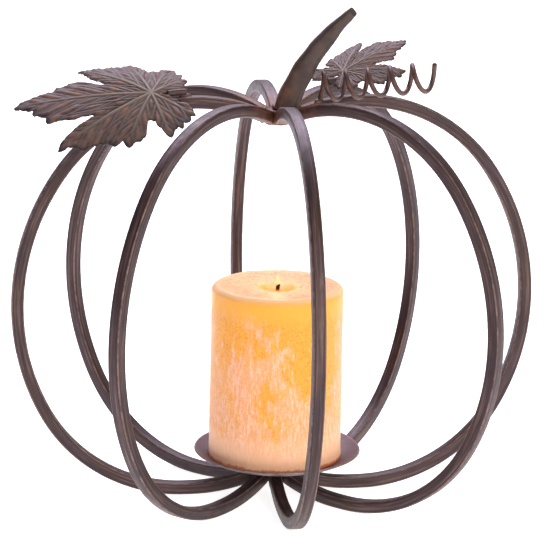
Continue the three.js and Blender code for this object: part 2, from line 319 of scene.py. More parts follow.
bar_paint = bronze_paint(
    "satin_bronze_powder_paint_on_bars",
    ("#443029", "#463435", "#93796d", "#8a5430"),
    patch_mm=22.0,
    dent_mm=9.0,
    wear=0.85,
    lined=True,
)
plain_paint = bronze_paint(
    "satin_bronze_powder_paint",
    ("#4c3a37", "#544447", "#7d6256", "#8a5430"),
    patch_mm=12.0,
    dent_mm=5.0,
    wear=0.6,
)
dish_paint = bronze_paint(
    "satin_bronze_paint_on_pressed_dish",
    ("#6a5755", "#735f62", "#a08b82", "#5f4b42"),
    patch_mm=26.0,
    dent_mm=14.0,
    wear=0.8,
)
stem_paint = bronze_paint(
    "rubbed_bronze_paint_on_forged_stem",
    ("#3d2f2b", "#4a3d36", "#635349", "#7a4b2c"),
    patch_mm=8.0,
    dent_mm=7.0,
    wear=0.6,
    rust_reach=(5, 13),
)
wire_paint = bronze_paint(
    "rubbed_bronze_paint_on_wire",
    ("#54392f", "#473534", "#8a6a58", "#7e5730"),
    patch_mm=9.0,
    dent_mm=4.0,
    wear=0.7,
    rust_reach=(14, 26),
)

# %% [markdown]
# ## One bar, bent from the foot up to the top
# Each rib of the cage is one square bar. A bender would clamp the bar and roll it round one former after
# another. Spin does the same: it sweeps the square end face round a centre, and the end face stays
# selected, so that the next bend goes on where the last one stopped. The bends are the ones of the CAD
# model. The bar is hot-rolled, so its corners are round, and the square gets a vertex bevel before it is
# swept.

# %% Bend one bar
CORNER = 0.9  # the bar's rounded corners, mm
FOOT_RADIUS = 50.0
FOOT_FLAT = 4.0
SIDE_BENDS = [(92, 61.5), (131, 28.5), (135.6, 36.2), (92.4, 53.8), (93, 24)]  # radius mm, degrees
FOOT_BEND = (100, 22.2)
FACET = 2.0  # degrees of bend in one facet
INNER_END = 10.8  # the sawn end under the dish lies nearer to the axis than this, mm


def bend(at, heading, bends, side):
    """Spins the selected face round centre after centre. Returns stations of (x, z, heading) on the way."""
    x, z = at
    line = [(x, z, heading)]
    for radius, degrees in bends:
        centre = (x - side * math.sin(heading) * radius, z + math.cos(heading) * radius)
        bpy.ops.mesh.spin(
            steps=round(degrees / FACET),
            angle=math.radians(degrees),
            center=(centre[0] * MM, 0, centre[1] * MM),
            axis=(0, side, 0),
            dupli=False,
            use_auto_merge=False,
            use_normal_flip=False,
        )
        for turned in np.linspace(0, math.radians(degrees), round(degrees / FACET) + 1)[1:]:
            x = centre[0] + side * math.sin(heading + turned) * radius
            z = centre[1] - math.cos(heading + turned) * radius
            line.append((x, z, heading + turned))
        heading += math.radians(degrees)
    return line


def square_bar():
    foot = (FOOT_RADIUS + FOOT_FLAT / 2, 0, BAR / 2)
    bar = begin(
        "bar", bpy.ops.mesh.primitive_plane_add, foot, size=BAR * MM, rotation=(0, math.pi / 2, 0)
    )
    bpy.ops.mesh.bevel(offset=CORNER * MM, segments=3, affect="VERTICES")
    outer = bend((foot[0], foot[2]), 0.0, SIDE_BENDS, 1)
    pick("FACE", lambda c, n: abs(c.x - foot[0]) < 0.01 and abs(c.z - foot[2]) < 0.01)
    bpy.ops.mesh.extrude_region_move(TRANSFORM_OT_translate={"value": (-FOOT_FLAT * MM, 0, 0)})
    inner = bend((foot[0] - FOOT_FLAT, foot[2]), 0.0, [FOOT_BEND], -1)
    pick("FACE", lambda c, n: c.x < INNER_END)
    bpy.ops.mesh.bevel(offset=0.5 * MM, segments=2, affect="EDGES")
    close(bar)
    places, normals = corners_and_normals(bar)
    store(bar, "worn_edge", smoothstep(0.35, 0.95, 2 * abs(normals[:, 1]) * np.sqrt(1 - normals[:, 1] ** 2)))
    line = np.array(inner[::-1] + outer)
    steps = np.linalg.norm(np.diff(line[:, :2], axis=0), axis=1)
    run = np.concatenate([[0], np.cumsum(steps)])
    flat = places[:, [0, 2]]
    near = np.argmin(np.linalg.norm(flat[:, None, :] - line[None, :, :2], axis=2), axis=1)
    away = flat - line[near, :2]
    turned = line[near, 2]
    above = away[:, 1] * np.cos(turned) - away[:, 0] * np.sin(turned)
    for name, values in zip(BAR_PLACE, (run[near], places[:, 1], above)):
        store(bar, name, values)
    print("bar ends at", [round(x, 1) for x in outer[-1][:2]], "and", [round(x, 1) for x in inner[-1][:2]])
    print("bar length before bending:", round(run[-1]), "mm; section to", round(abs(above).max(), 2))
    return bar


bar = square_bar()
print("faces in one bar:", len(bar.data.polygons))

# %% [markdown]
# ## Eight bars round the axis
# The bar is modelled once and copied seven times. The welder placed the eight bars by eye, so each stands a
# degree or so away from its even place, as the CAD model has it.

# %% Copy the bars to their places
BARS = [
    ("front", -0.9),
    ("front_right", -1.1),
    ("right", -0.3),
    ("back_right", -0.1),
    ("back", 0.0),
    ("back_left", 1.7),
    ("left", 0.0),
    ("front_left", 1.1),
]

BAR_SPACING = 900.0  # each bar is another length of the same stock, so its streaks differ

for i, (side, off) in enumerate(BARS):
    turn = Matrix.Rotation(math.radians(i * 360 / len(BARS) + off - 90), 4, "Z")
    rib = copy_of(bar, f"bent_bar_{side}", turn)
    run = np.zeros(len(rib.data.vertices), np.float32)
    rib.data.attributes["run"].data.foreach_get("value", run)
    rib.data.attributes["run"].data.foreach_set("value", run + i * BAR_SPACING)
    rib.data.materials.append(bar_paint)
    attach(rib, "frame")
    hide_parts(f"rib_{side}")
bpy.data.objects.remove(bar)
print("bars:", len(BARS))

# %% [markdown]
# ## The two slugs
# The bar ends are welded to a short round slug at the top and another at the bottom. A slug is a sawn piece
# of round bar with turned edges, so it is a cylinder whose skirt is widened and whose edges are bevelled.

# %% Turn the slugs
def slug(name, rings):
    """Extrudes a disc up through rings of (radius, height) and rounds its edges."""
    (radius, height), *rest = rings
    piece = begin(
        name,
        bpy.ops.mesh.primitive_circle_add,
        (0, 0, height),
        radius=radius * MM,
        vertices=64,
        fill_type="NGON",
    )
    for next_radius, next_height in rest:
        step_to(radius, next_radius, next_height - height, (0, 0, next_height))
        radius, height = next_radius, next_height
    levels = [z for _, z in rings]
    pick("EDGE", lambda c, n: min(abs(c.z - z) for z in levels) < 0.01 and abs(n.z) < 0.5)
    bpy.ops.mesh.bevel(offset=0.45 * MM, segments=3, affect="EDGES")
    close(piece, 50)
    places, _ = corners_and_normals(piece)
    reach = np.hypot(places[:, 0], places[:, 1])
    store(piece, "worn_edge", smoothstep(reach.max() - 1.5, reach.max(), reach))
    piece.data.materials.append(plain_paint)
    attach(piece, "frame")
    return piece


upper = slug("slug_at_the_top", [(6.0, 218.9), (9.2, 220.5), (9.0, 222.6), (7.6, 227.5)])
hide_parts("top_slug")
lower = slug("slug_at_the_bottom", [(7.6, 7.4), (9.2, 14.4), (7.6, 20.0)])
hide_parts("bottom_slug")
print("slug faces:", len(upper.data.polygons), len(lower.data.polygons))

# %% [markdown]
# ## The candle dish
# The dish is pressed from thin sheet: a flat floor and a rim that rises gently. A disc is extruded outwards
# and upwards a few times, Solidify gives the sheet its thickness downwards, and a small bevel rounds the
# sheared edge, which then catches the light as a thin bright line.

# %% Press the dish
DISH_AT = (2.6, 0.0)  # the dish was welded on a little off the axis
DISH_FLOOR = 21.5
DISH_SHEET = 1.2


def dish():
    floor_radius, rim_radius, rise, steps = 39.5, 48.8, 4.2, 8
    piece = begin(
        "pressed_candle_dish",
        bpy.ops.mesh.primitive_circle_add,
        (*DISH_AT, DISH_FLOOR),
        radius=floor_radius * MM,
        vertices=128,
        fill_type="NGON",
    )
    pick("EDGE", lambda c, n: True)
    radius, height = floor_radius, 0.0
    for i in range(1, steps + 1):
        t = i / steps
        next_radius = floor_radius + (rim_radius - floor_radius) * t
        next_height = rise * (0.7 * t + 0.3 * t * t)
        rim_middle = (*DISH_AT, DISH_FLOOR + next_height)
        step_to(radius, next_radius, next_height - height, rim_middle, bpy.ops.mesh.extrude_edges_move)
        radius, height = next_radius, next_height
    pick("FACE", lambda c, n: abs(c.z - DISH_FLOOR) < 0.01)
    radius = floor_radius
    for next_radius in (35.0, 25.0, 12.0):
        step_to(radius, next_radius, 0.0, (*DISH_AT, DISH_FLOOR))
        radius = next_radius
    bpy.ops.mesh.poke()
    close(piece)
    modify(piece, "SOLIDIFY", thickness=DISH_SHEET * MM, offset=-1.0)
    modify(piece, "BEVEL", width=0.3 * MM, segments=2, limit_method="ANGLE", angle_limit=math.radians(50))
    close(piece, 40)
    places, _ = corners_and_normals(piece)
    reach = np.hypot(places[:, 0] - DISH_AT[0], places[:, 1])
    store(piece, "worn_edge", smoothstep(rim_radius - 1.2, rim_radius - 0.2, reach))
    piece.data.materials.append(dish_paint)
    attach(piece, "frame")
    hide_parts("candle_dish")
    return piece


plate = dish()
print("dish faces:", len(plate.data.polygons))

# %% [markdown]
# ## The forged stem
# The stem is a stub of bar, drawn out to a taper under the hammer while it was bent over. Hammering leaves
# a rounded square section with long creases, and a few flats along its back. The section is a plane with a
# wide vertex bevel. It is extruded from station to station, and at each one it is turned and made smaller.
# The stem is drawn in the x-z plane, and turned to its lean at the end.

# %% Draw out the stem
STEM_LEAN = 80.1  # compass direction of the lean, degrees
STEM_BASE = (4.4, 229.2)  # distance from the axis, height
STEM_KNEE = (13.8, 258.4)
STEM_TIP = (40.8, 283.6)


def stem_line(t):
    """Place and heading on the stem's centre line, a quadratic curve."""
    a, b, c = (np.array(p) for p in (STEM_BASE, STEM_KNEE, STEM_TIP))
    place = (1 - t) ** 2 * a + 2 * t * (1 - t) * b + t * t * c
    along = 2 * (1 - t) * (b - a) + 2 * t * (c - b)
    return place, math.atan2(along[1], along[0])


def draw_out(stations):
    """Extrudes the selected end face from station to station: (x, z, heading, size)."""
    for (x0, z0, h0, s0), (x1, z1, h1, s1) in zip(stations, stations[1:]):
        end = (x1 * MM, 0, z1 * MM)
        step = ((x1 - x0) * MM, 0, (z1 - z0) * MM)
        bpy.ops.mesh.extrude_region_move(TRANSFORM_OT_translate={"value": step})
        if abs(h1 - h0) > 1e-6:
            bpy.ops.transform.rotate(value=h1 - h0, orient_axis="Y", center_override=end)
        bpy.ops.transform.resize(value=(s1 / s0,) * 3, center_override=end)


def stem():
    base_half, tip_half, count = 6.9, 2.7, 28
    hammer_depth, hammer_waves = 0.035, 3
    stations = []
    for i in range(count + 1):
        t = i / count
        (x, z), heading = stem_line(t)
        hammered = 1 + hammer_depth * math.sin(t * hammer_waves * math.tau + 0.6) * (1 - t)
        stations.append((x, z, heading, (base_half + (tip_half - base_half) * t * t) * hammered))
    x, z, heading, size = stations[0]
    piece = begin(
        "forged_stem",
        bpy.ops.mesh.primitive_plane_add,
        (x, 0, z),
        size=2 * size * MM,
        rotation=(math.radians(28), math.pi / 2 - heading, 0),
    )
    bpy.ops.mesh.bevel(offset=size * 0.62 * MM, segments=4, affect="VERTICES")
    draw_out(stations)
    bpy.ops.mesh.inset(thickness=0.5 * MM, depth=0.1 * MM)
    close(piece)
    places, _ = corners_and_normals(piece)
    places[:, 2] = np.maximum(places[:, 2], STEM_BASE[1])
    put(piece, places)
    return piece


forged = stem()
modify(forged, "SUBSURF", levels=1, render_levels=1, subdivision_type="SIMPLE")
dents = bpy.data.textures.new("hammer dents", "CLOUDS")
dents.noise_scale = 9 * MM
modify(forged, "DISPLACE", texture=dents, strength=0.9 * MM, mid_level=0.75, texture_coords="LOCAL")
forged.data.transform(Matrix.Rotation(math.radians(STEM_LEAN - 90), 4, "Z"))
close(forged, 28)
wear_evenly(forged, 0.35)
forged.data.materials.append(stem_paint)
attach(forged, "frame")
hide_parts("stem")
print("stem faces:", len(forged.data.polygons))

# %% [markdown]
# ## The tendril
# The tendril is round wire wound on a mandrel into five and a quarter loose turns. The wire's section is a
# circle beside the coil's axis, and the Screw modifier carries it round and along. Screw leaves the two
# ends open, so they are filled, and the first end is drawn out to the bar that it is welded to.

# %% Wind the tendril
WIRE = 1.4  # radius of the wire
COIL_RADIUS = 7.6
COIL_PITCH = 12.9
COIL_START = Vector((19.0, -5.9, 240.4))
COIL_HEADING = 64.5
COIL_CLIMB = 8.5
COIL_FIRST = 55.0  # degrees past the lowest point where the wire begins
COIL_TURNS = 5.25


def tendril():
    slope = math.atan(COIL_PITCH / (math.tau * COIL_RADIUS))
    piece = begin(
        "wire_tendril",
        bpy.ops.mesh.primitive_circle_add,
        (COIL_RADIUS, 0, 0),
        radius=WIRE * MM,
        vertices=16,
        fill_type="NOTHING",
        rotation=(math.pi / 2 + slope, 0, 0),
    )
    bpy.ops.object.mode_set(mode="OBJECT")
    modify(
        piece,
        "SCREW",
        axis="Z",
        angle=math.tau * COIL_TURNS,
        screw_offset=COIL_PITCH * COIL_TURNS * MM,
        steps=round(COIL_TURNS * 36),
        render_steps=round(COIL_TURNS * 36),
        use_merge_vertices=False,
    )
    bpy.ops.object.mode_set(mode="EDIT")
    pick("EDGE", lambda c, n: False)
    bpy.ops.mesh.select_non_manifold()
    bpy.ops.mesh.edge_face_add()
    return close(piece)


wire = tendril()
along = compass(COIL_HEADING, COIL_CLIMB)
across = Vector((0, 0, 1)).cross(along).normalized()
up = along.cross(across)
first = math.radians(COIL_FIRST)
towards = across * math.sin(first) - up * math.cos(first)
beside = across * math.cos(first) + up * math.sin(first)
to_place = Matrix((towards, beside, along)).transposed().to_4x4()
to_place.translation = (COIL_START + along * COIL_PITCH * COIL_FIRST / 360) * MM
wire.data.transform(to_place)
wire_start = to_place @ Vector((COIL_RADIUS * MM, 0, 0)) / MM
last = math.tau * COIL_TURNS
wire_end = Vector((COIL_RADIUS * math.cos(last), COIL_RADIUS * math.sin(last), COIL_PITCH * COIL_TURNS))
wire_end = to_place @ (wire_end * MM) / MM

# %% Lead its first end down to the bar, and round the other end
BAR_TOP_NEAR_WIRE = 232.0  # height of the bar's upper face under the wire's end, mm
DROP_STEP = 0.35  # three of these take the wire's end down, and a little into its weld
bpy.ops.object.mode_set(mode="EDIT")
pick("FACE", lambda c, n: (c - wire_start).length < 0.3)
drop = wire_start.z - BAR_TOP_NEAR_WIRE
for sideways in (-0.5, -0.2, 0.0):
    step = (sideways * MM, sideways * MM, -drop * DROP_STEP * MM)
    bpy.ops.mesh.extrude_region_move(TRANSFORM_OT_translate={"value": step})
pick("FACE", lambda c, n: (c - wire_end).length < 0.3)
bpy.ops.mesh.inset(thickness=0.5 * MM, depth=0.5 * MM)
close(wire)
wear_evenly(wire, 0.5)
wire.data.materials.append(wire_paint)
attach(wire, "frame")
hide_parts("tendril")
print("tendril faces:", len(wire.data.polygons), "starts at", [round(x, 1) for x in wire_start])

# %% [markdown]
# ## Rubbed paint on the leaves
# The leaves have the same bronze paint, rubbed by hand: copper brown is left on the ridges, a darker brown
# stays in the hollows, and a greyer olive lies in patches. The raised veins are painted pale grey, a painted
# highlight, and a band along the margin is painted dark. Each leaf stores how high its veins and its
# puckers rise and how close to the margin each vertex is, and the finish mixes its colours by those numbers.

# %% Leaf paint
def leaf_paint(name):
    """Rubbed paint on pressed sheet: colour follows the relief, painted highlight on the veins, satin sheen,
    margin painted dark.
    """
    material, tree, shader, place = finish_called(name, "rubbed paint, copper on the ridges, olive below")
    vein, relief, margin = (
        node(tree, "Attribute", output="Fac", attribute_name=kept) for kept in ("vein", "relief", "margin")
    )
    rubbed = node(tree, "TexNoise", {"Vector": place, "Scale": per_mm(7.0), "Detail": 5.0, "Roughness": 0.65})
    tone = node(tree, "Math", {0: rubbed, 1: 1.4, 2: relief}, operation="MULTIPLY_ADD")
    tone = node(tree, "Math", {0: tone, 1: 0.68}, operation="SUBTRACT")
    copper = [(0.0, "#3b2825"), (0.3, "#674e44"), (0.6, "#80614f"), (0.95, "#a87a5a")]
    colour = node(tree, "ValToRGB", {"Fac": tone}, copper)
    # painted highlight: the raised veins are painted a pale grey
    colour = node(tree, "MixRGB", {0: vein, 1: colour, 2: "#877b6b"})
    patches = node(tree, "TexNoise", {"Vector": place, "Scale": per_mm(16.0), "Detail": 2.0})
    olive = node(tree, "ValToRGB", {"Fac": patches}, [(0.45, 0.0), (0.7, 0.45)])
    colour = node(tree, "MixRGB", {0: olive, 1: colour, 2: "#655b50"})
    # a band along the margin is painted dark
    colour = node(tree, "MixRGB", {0: margin, 1: colour, 2: "#261e22"})
    sheen = node(tree, "MapRange", {0: rubbed, 1: 0.3, 2: 0.7, 3: 0.5, 4: 0.72})
    grain = node(tree, "TexNoise", {"Vector": place, "Scale": per_mm(1.2), "Detail": 3.0})
    bump = node(tree, "Bump", {"Height": grain, "Strength": 0.4, "Distance": 0.15 * MM})
    fill(tree, shader, {"Base Color": colour, "Roughness": sheen, "Normal": bump})
    fill(tree, shader, {"Metallic": 0.2, "IOR": 1.5})
    return material


leaf_finish = leaf_paint("rubbed_bronze_paint_on_pressed_leaf")

# %% [markdown]
# ## A pressed leaf
# The leaf is thin sheet, cut with a toothed edge and pressed in a die that raises its veins and puckers the
# sheet between them. The leaf starts as a circle whose edge is extruded inwards ring by ring to the centre,
# where the main veins meet. No operator draws a toothed lobe, so code then moves each vertex: its place on
# the circle becomes a place on the leaf's outline, and its height comes from the veins.

# %% The outline and its teeth
# [distance from the vein centre, degrees from the tip] at each corner of the leaf, half by half
LEAF_HALF = [
    (78, 0), (71, 3), (66.5, 5), (67, 8), (60, 12.5), (60.5, 17), (56.5, 17.5), (50, 19.5), (46.5, 22),
    (42, 22.5), (36, 25.5), (35, 29), (42, 29.5), (49, 30.5), (56, 32.5), (60, 34), (62.5, 36),
    (57, 38), (54.5, 40), (52.5, 45.5), (46.5, 49), (44, 52), (41, 56), (41, 62), (36, 66), (38.5, 73),
    (34, 78), (33.5, 82), (31, 85.5), (26, 84), (21.5, 82.5), (20, 87), (20.5, 99), (26, 103),
    (29, 106), (34, 111), (31, 117), (30, 122), (32, 125), (29.5, 130), (31, 136), (28.5, 142),
    (30.5, 146), (28, 149), (25, 154), (20, 158), (13, 161), (7, 165), (3, 180),
]
OTHER_HALF = [
    (78, 0), (73.5, 4), (67, 6), (65, 8), (57, 9.5), (56.5, 14), (51, 17), (51, 21), (46, 20.7),
    (40.5, 20), (34, 20.3), (29.5, 23), (31, 28), (38, 30), (44, 33), (47.5, 36), (58, 40), (54, 45),
    (54, 49), (48, 51), (46, 57), (41.5, 62), (42, 68), (36, 73), (30, 77), (24, 83), (24, 98),
    (27, 100), (27, 108), (29, 113), (25, 121), (27, 127), (23, 134), (25, 141), (21, 149), (20, 156),
    (14, 158), (7, 165), (3, 180),
]
TOOTH_SPACING = 3.4
TOOTH_DEPTH = 0.5
OUTLINE_STEP = 1.0  # distance between vertices along the margin, mm
LEAF_RINGS = 40


def polar(radius, degrees):
    return np.array([radius * math.cos(math.radians(degrees)), radius * math.sin(math.radians(degrees))])


def toothed_edge(a, b):
    """Points from corner a to corner b of the outline, with small teeth that lean outwards."""
    length = np.linalg.norm(b - a)
    teeth = int(length // TOOTH_SPACING)
    steps = max(1, round(length / OUTLINE_STEP))
    outward = np.array([b[1] - a[1], a[0] - b[0]]) / max(length, 1e-9)
    rising = np.linalg.norm(b) > np.linalg.norm(a)
    points = []
    for i in range(steps):
        t = i / steps
        phase = (t * teeth) % 1 if teeth else 0
        if not rising:
            phase = 1 - phase if phase else 0
        tooth = phase / 0.75 if phase < 0.75 else (1 - phase) / 0.25
        points.append(a + (b - a) * t + outward * tooth * TOOTH_DEPTH * (teeth > 0))
    return points


def leaf_outline():
    half = [polar(r, a) for r, a in LEAF_HALF]
    other = [polar(r, -a) for r, a in OTHER_HALF]
    corners = half + other[-2:0:-1]
    points = []
    for a, b in zip(corners, corners[1:] + corners[:1]):
        points += toothed_edge(a, b)
    return np.array(points)


OUTLINE = leaf_outline()
print("points along the margin:", len(OUTLINE))

# %% [markdown]
# ### Veins
# A vein is a line with a height that falls off to both sides. Nine main veins run from the vein centre to
# the lobes' tips, and shorter side veins branch from them towards the teeth. The sheet between two side
# veins is puckered, so it rises a little halfway.

# %% Vein lines and the height of the sheet
MAIN_VEINS = [(76, 0), (60, 36), (36, 71.5), (31, 110), (28, 145)]
OTHER_MAIN_VEINS = [(56, 40), (38, 68), (26, 107), (23, 140)]
MAIN_VEIN, SIDE_VEIN = (1.5, 0.95), (1.0, 0.75)  # height and half width, mm
SIDE_VEIN_ANGLE = 30.0
SIDE_VEIN_LONGEST = 44  # mm
SIDE_VEIN_SPACING = 13.0  # distance between side veins along a main vein, mm
PILLOW_REACH = 3.0  # how far a groove reaches into the sheet on each side of a vein, mm
PILLOW_WIDTH = 7.0
PILLOW_RISE = 2.6


def vein_lines():
    """Rows of (start u, start v, end u, end v, height, half width) in millimetres."""
    lines = []
    for radius, degrees in MAIN_VEINS + [(r, -a) for r, a in OTHER_MAIN_VEINS]:
        tip = polar(radius, degrees)
        lines.append((0, 0, *tip, *MAIN_VEIN))
        count = max(1, round(radius / SIDE_VEIN_SPACING))
        for i in range(count):
            t = (i + 0.7) / (count + 0.3)
            for branch in (1, -1):
                reach = min((1 - t) * radius * 1.1 + 8, SIDE_VEIN_LONGEST)
                start = tip * (t + 0.02 * branch)
                end = start + polar(reach, degrees + branch * SIDE_VEIN_ANGLE)
                lines.append((*start, *end, *SIDE_VEIN))
    return np.array(lines)


VEINS = vein_lines()


def relief(places):
    """Height of the veins, and how far the sheet between them is puckered up (0 to 1)."""
    vein, groove, near = np.zeros(len(places)), np.zeros(len(places)), np.zeros(len(places))
    for u0, v0, u1, v1, rise, width in VEINS:
        a, d = np.array([u0, v0]), np.array([u1 - u0, v1 - v0])
        t = np.clip((places - a) @ d / (d @ d), 0, 1)
        away = np.linalg.norm(places - a - t[:, None] * d, axis=1)
        fade = 1 - smoothstep(0.75, 1.0, t)
        vein = np.maximum(vein, rise * (1 - 0.4 * t) * fade * np.exp(-((away / width) ** 2)))
        groove = np.maximum(groove, fade * np.exp(-((away / PILLOW_REACH) ** 2)))
        near = np.maximum(near, fade * np.exp(-((away / PILLOW_WIDTH) ** 2)))
    return vein, near * (1 - groove)


print("veins:", len(VEINS))

# %% Press a leaf
LEAF_SHEET = 1.0


def leaf_axes(direction, climb, tilt):
    """Directions along the main vein, across towards the front, and out of the upper face."""
    main = compass(direction, climb)
    turn, lean = math.radians(direction), math.radians(tilt)
    level = Vector((math.cos(turn), math.sin(turn), 0))
    rise = main.cross(level)
    across = level * math.cos(lean) - rise * math.sin(lean)
    out = rise * math.cos(lean) + level * math.sin(lean)
    return main, across, out


def pressed_leaf(name, centre, direction, climb, tilt, scale, cross_bend, long_bend, wave):
    """A leaf at its vein centre. Bends are 1 / radius in mm, and wave is how far the lobes curl in mm."""
    count = len(OUTLINE)
    piece = begin(name, bpy.ops.mesh.primitive_circle_add, radius=1.0, vertices=count, fill_type="NOTHING")
    for ring in range(LEAF_RINGS - 1, 0, -1):
        bpy.ops.mesh.extrude_edges_move(TRANSFORM_OT_translate={"value": (0, 0, 0)})
        shrink = ring / (ring + 1)
        bpy.ops.transform.resize(value=(shrink, shrink, 1), center_override=(0, 0, 0))
    bpy.ops.mesh.extrude_edges_move(TRANSFORM_OT_translate={"value": (0, 0, 0)})
    bpy.ops.mesh.merge(type="CENTER")
    bpy.ops.object.mode_set(mode="OBJECT")
    places, _ = corners_and_normals(piece)
    places = places * MM
    share = np.linalg.norm(places[:, :2], axis=1)
    index = np.round(np.arctan2(places[:, 1], places[:, 0]) / math.tau * count).astype(int) % count
    flat = OUTLINE[index] * share[:, None]
    vein, puckered = relief(flat)
    pillow = PILLOW_RISE * puckered * smoothstep(1.0, 0.93, share)
    angle = np.arctan2(flat[:, 1], flat[:, 0])
    curl = wave * np.sin(3 * angle + 0.7) * share**3
    u, v = flat[:, 0] * scale, flat[:, 1] * scale
    lift = (vein + pillow - 0.5 * PILLOW_RISE + curl) * scale**0.5
    lift = lift - (cross_bend * v * v + long_bend * u * u) / 2
    main, cross, out = (np.array(axis) for axis in leaf_axes(direction, climb, tilt))
    final = np.array(centre) + np.outer(u, main) + np.outer(v, cross) + np.outer(lift, out)
    put(piece, final)
    store(piece, "vein", np.clip(vein / 1.4, 0, 1) ** 1.6)
    store(piece, "relief", np.clip(pillow / PILLOW_RISE, 0, 1))
    store(piece, "margin", smoothstep(0.955, 1.0, share))
    bpy.ops.object.mode_set(mode="EDIT")
    bpy.ops.mesh.select_all(action="SELECT")
    bpy.ops.mesh.normals_make_consistent(inside=False)
    bpy.ops.object.mode_set(mode="OBJECT")
    modify(piece, "SOLIDIFY", thickness=LEAF_SHEET * MM, offset=0.0, use_even_offset=False)
    close(piece, 60)
    piece.data.materials.append(leaf_finish)
    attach(piece, "frame")
    print(name, "faces:", len(piece.data.polygons))
    return piece


left_leaf = pressed_leaf(
    "pressed_leaf_left",
    centre=(-72.8, 0, 237.5),
    direction=260.2,
    climb=-1.1,
    tilt=27.7,
    scale=1.0,
    cross_bend=0.0116,
    long_bend=0.0037,
    wave=1.0,
)
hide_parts("leaf_left")
right_leaf = pressed_leaf(
    "pressed_leaf_right",
    centre=(44.9, 40.4, 242.3),
    direction=114.6,
    climb=24.5,
    tilt=-12,
    scale=0.62,
    cross_bend=0.0139,
    long_bend=0.0047,
    wave=0.8,
)
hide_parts("leaf_right")

# %% [markdown]
# ## The leaf stalks
# Each leaf stands on a short rod that is welded to a bar. The rod is a disc, extruded from station to
# station in the x-z plane like the stem, and turned to its direction.

# %% Draw out the stalks
def stalk(name, stations, direction, foot):
    """A rod through stations of (distance, height) from a foot, along a compass direction."""
    line = []
    for i, (x, z) in enumerate(stations):
        before, after = stations[max(i - 1, 0)], stations[min(i + 1, len(stations) - 1)]
        line.append((x, z, math.atan2(after[1] - before[1], after[0] - before[0]), 1.0))
    x, z, heading, _ = line[0]
    piece = begin(
        name,
        bpy.ops.mesh.primitive_circle_add,
        (x, 0, z),
        radius=1.8 * MM,
        vertices=20,
        fill_type="NGON",
        rotation=(0, math.pi / 2 - heading, 0),
    )
    draw_out(line)
    bpy.ops.mesh.inset(thickness=0.5 * MM, depth=0.4 * MM)
    close(piece, 50)
    place = Matrix.Translation(Vector(foot) * MM) @ Matrix.Rotation(math.radians(direction - 90), 4, "Z")
    piece.data.transform(place)
    wear_evenly(piece, 0.2)
    piece.data.materials.append(plain_paint)
    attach(piece, "frame")
    return piece


left_stalk = stalk(
    "leaf_stalk_left", [(0, 0), (3, 0), (6, -0.3), (10, -0.8)], 270, (-53, 0, 237.9)
)
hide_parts("leaf_left_stalk")
right_stalk = stalk(
    "leaf_stalk_right", [(0, 0), (3.5, -0.1), (7, -0.1), (9.8, 0.2)], 120.7, (34, 34, 237.7)
)
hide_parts("leaf_right_stalk")
print("stalks made")

# %% [markdown]
# ## Weld beads
# A weld leaves a bead of metal that froze in overlapping ripples. One bead is modelled: a sphere,
# stretched, with every other ring of it pulled in, and then moved a little at random. Copies of it lie
# where a bar meets a slug, under the dish, and at the feet of the stem, the stalks and the tendril. The
# paint covers them too.

# %% One bead of weld
def weld_bead():
    rings = 14
    piece = begin("bead", bpy.ops.mesh.primitive_uv_sphere_add, radius=MM, segments=16, ring_count=rings)
    levels = [math.cos(math.pi * i / rings) for i in range(2, rings - 1, 2)]
    pick("VERT", lambda c, n: min(abs(c.z - level) for level in levels) < 0.01)
    bpy.ops.transform.resize(value=(0.84, 0.84, 1))
    bpy.ops.mesh.select_all(action="SELECT")
    bpy.ops.transform.vertex_random(offset=0.05 * MM, seed=4)
    return close(piece, 80)


def bead_at(place, run, length=3.0, thickness=1.6):
    """Places a copy of the bead at a point, lying along a direction."""
    size = Matrix.Diagonal((thickness, thickness, length, 1))
    turn = Vector(run).to_track_quat("Z", "Y").to_matrix().to_4x4()
    return copy_of(bead, "bead_copy", Matrix.Translation(Vector(place) * MM) @ turn @ size)


def ring_of_beads(centre, radius, count, length, thickness):
    """Beads end to end round a circle."""
    beads = []
    for i in range(count):
        way = math.tau * i / count
        place = Vector(centre) + Vector((math.cos(way), math.sin(way), 0)) * radius
        beads.append(bead_at(place, (-math.sin(way), math.cos(way), 0), length, thickness))
    return beads


def welded(name, beads, paint):
    group = join(name, beads)
    close(group, 80, recalculate=False)
    wear_evenly(group, 0.6)
    group.data.materials.clear()
    group.data.materials.append(paint)
    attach(group, "frame")
    print(name, "beads:", len(beads), "faces:", len(group.data.polygons))
    return group


SLUG_WELDS = {  # (distance from the axis, height, bead length, bead thickness) of each weld on a bar, mm
    "top": [(9.2, 226.4, 2.9, 1.5), (9.6, 220.8, 2.7, 1.3)],
    "foot": [(9.4, 14.0, 2.7, 1.4), (9.0, 8.0, 2.7, 1.3)],
}
bead = weld_bead()

# %% Beads round the slugs, under the dish and at the ornaments' feet
slug_beads = {"top": [], "foot": []}
for i, (_, off) in enumerate(BARS):
    outward = compass(i * 360 / len(BARS) + off)
    sideways = outward.cross(Vector((0, 0, 1)))
    for end, welds in SLUG_WELDS.items():
        for reach, height, length, thickness in welds:
            place = outward * reach + Vector((0, 0, height))
            slug_beads[end].append(bead_at(place, sideways, length, thickness))
slug_beads["foot"] += ring_of_beads((0, 0, 19.9), radius=7.9, count=10, length=2.8, thickness=1.0)
welded("weld_beads_at_the_top_slug", slug_beads["top"], plain_paint)
welded("weld_beads_at_the_bottom_slug", slug_beads["foot"], plain_paint)

